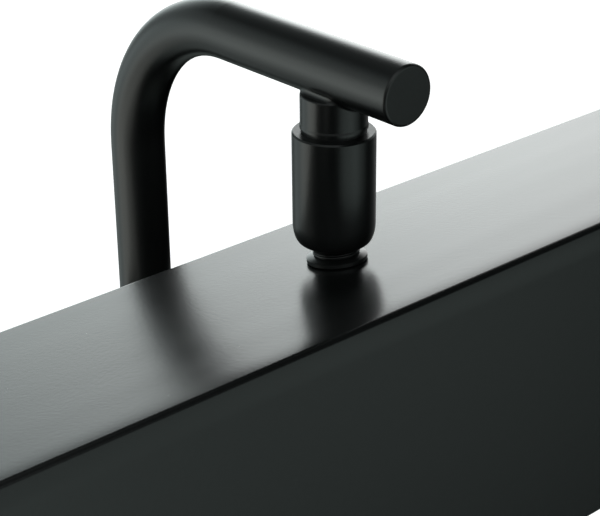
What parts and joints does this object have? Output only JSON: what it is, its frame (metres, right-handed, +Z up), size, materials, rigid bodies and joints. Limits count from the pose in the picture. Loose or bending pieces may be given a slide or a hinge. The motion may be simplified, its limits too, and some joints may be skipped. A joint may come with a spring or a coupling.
{
  "type": "wall picture light",
  "caption": "Black wall picture light: a long box head hung by a swivelling ball joint from a bent tube arm that rises out of a wall canopy.",
  "frame": {"origin": "middle of the wall plate's back face, in the wall plane, on the axis of the cable entry", "axes": "+X to the right along the wall and along the head, +Y into the wall, +Z up; the light stands out towards -Y"},
  "size_m": [0.46, 0.1192, 0.1614],
  "materials": {
    "black_coat_steel": "matt black powder coat with a fine satin sheen, on steel",
    "black_coat_aluminium": "matt black powder coat with a fine satin sheen, on extruded aluminium",
    "black_steel_screw": "black oxide",
    "zinc_steel": "zinc plated",
    "spring_steel": "blued spring steel",
    "brass": "plain turned brass",
    "plain_aluminium": "mill finish",
    "black_rubber": "moulded black rubber",
    "nylon": "natural moulded nylon",
    "block_plastic": "moulded, off white",
    "driver_white": "moulded white case",
    "board_white": "white solder mask on an aluminium board",
    "led_phosphor": "yellow phosphor under clear resin",
    "opal": "opal acrylic",
    "lead_sheath": "black round flexible sheath",
    "wire_red": "single insulated wires"
  },
  "bodies": {
    "wall_and_arm": {"wall_plate": "zinc_steel", "cable_grommet": "black_rubber", "canopy": "black_coat_steel", "cover_screws": "black_coat_steel", "earth_screw": "brass", "terminal_block": "block_plastic", "terminal_screws": "brass", "arm_ferrule": "black_coat_steel", "arm_nipple": "zinc_steel", "arm_lock_washer": "zinc_steel", "arm_nut": "zinc_steel", "arm_tube": "black_coat_steel", "arm_end_cap": "black_coat_steel", "arm_stub": "black_coat_steel", "retaining_ring": "spring_steel", "supply_lead": "lead_sheath"},
    "swivel_sleeve": {"socket_sleeve": "black_coat_steel", "ball_cup": "nylon", "disc_springs": "spring_steel", "friction_washer": "nylon"},
    "ball_pins": {"tilt_pins": "spring_steel"},
    "head": {"ball_stem": "black_coat_steel", "stem_gasket": "black_rubber", "head_housing": "black_coat_aluminium", "stiffener_plate": "zinc_steel", "stem_lock_washer": "zinc_steel", "stem_nut": "zinc_steel", "end_plate_left": "black_coat_aluminium", "end_plate_right": "black_coat_aluminium", "end_screws": "black_steel_screw", "led_tray": "plain_aluminium", "tray_screws": "zinc_steel", "led_board": "board_white", "board_screws": "zinc_steel", "led_chips": "led_phosphor", "diffuser": "opal", "led_driver": "driver_white", "driver_screws": "zinc_steel", "head_lead": "lead_sheath", "output_leads": "wire_red"}
  },
  "joints": [
    {"name": "head_swivel", "type": "hinge", "parent": "wall_and_arm", "child": "swivel_sleeve", "pos_m": [0, -0.0802, 0.08748], "axis": [0, 0, 1], "range_deg": [-10, 10]},
    {"name": "head_tilt", "type": "hinge", "parent": "swivel_sleeve", "child": "ball_pins", "pos_m": [0, -0.0802, 0.08748], "axis": [1, 0, 0], "range_deg": [-4.5, 17.5]},
    {"name": "head_level", "type": "hinge", "parent": "ball_pins", "child": "head", "pos_m": [0, -0.0802, 0.08748], "axis": [0, 0.9914, -0.1305], "range_deg": [-5, 5]}
  ]
}
